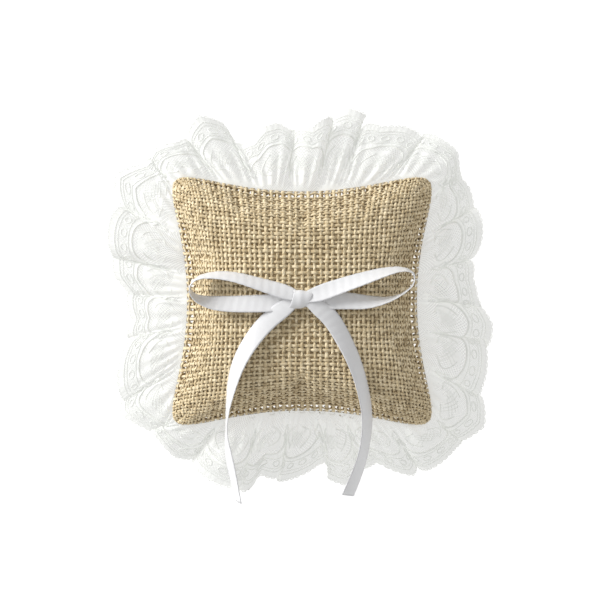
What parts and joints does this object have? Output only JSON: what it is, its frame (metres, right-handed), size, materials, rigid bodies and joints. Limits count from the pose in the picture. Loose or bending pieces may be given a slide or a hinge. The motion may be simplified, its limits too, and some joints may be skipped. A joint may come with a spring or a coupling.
{
  "type": "ring bearer pillow",
  "caption": "Small stuffed burlap ring pillow lying on its back, with a gathered white lace frill in its seam and a satin ribbon bow whose tails tie the rings.",
  "frame": {"origin": "middle of the flat face on the cushion's back that it rests on", "axes": "+Z out of the front with the bow, +Y to the cushion's top edge, +X to its right side seen from the front"},
  "size_m": [0.1492, 0.1554, 0.0416],
  "materials": {
    "burlap": "open plain weave, coarse natural jute",
    "lining": "plain calico",
    "filling": "loose polyester fibre",
    "lace": "white edging lace",
    "white_thread": "sewing thread",
    "tan_thread": "sewing thread",
    "ribbon": "satin"
  },
  "bodies": {
    "pillow": {"front_panel": "burlap", "back_panel": "burlap", "lining_front": "lining", "lining_back": "lining", "stuffing": "filling", "lace_frill": "lace", "gathering_thread": "white_thread", "seam_thread": "tan_thread", "lining_seam_thread": "tan_thread", "closing_stitches": "tan_thread", "bow_knot": "ribbon", "bow_tack_stitch": "white_thread"},
    "left_loop": {"bow_loop_left": "ribbon"},
    "right_loop": {"bow_loop_right": "ribbon"},
    "left_tail": {"ribbon_tail_left": "ribbon"},
    "right_tail": {"ribbon_tail_right": "ribbon"}
  },
  "joints": [
    {"name": "left_loop_lift", "type": "hinge", "parent": "pillow", "child": "left_loop", "pos_m": [-0.013, 0.002, 0.0401], "axis": [0, 1, 0], "range_deg": [0, 45]},
    {"name": "right_loop_lift", "type": "hinge", "parent": "pillow", "child": "right_loop", "pos_m": [0.013, 0.002, 0.0404], "axis": [0, -1, 0], "range_deg": [0, 45]},
    {"name": "left_tail_lift", "type": "hinge", "parent": "pillow", "child": "left_tail", "pos_m": [-0.0136, -0.008, 0.0377], "axis": [-0.783, 0.622, 0], "range_deg": [0, 60]},
    {"name": "right_tail_lift", "type": "hinge", "parent": "pillow", "child": "right_tail", "pos_m": [0.0112, -0.0064, 0.0377], "axis": [-0.8534, -0.5212, 0], "range_deg": [0, 60]}
  ]
}
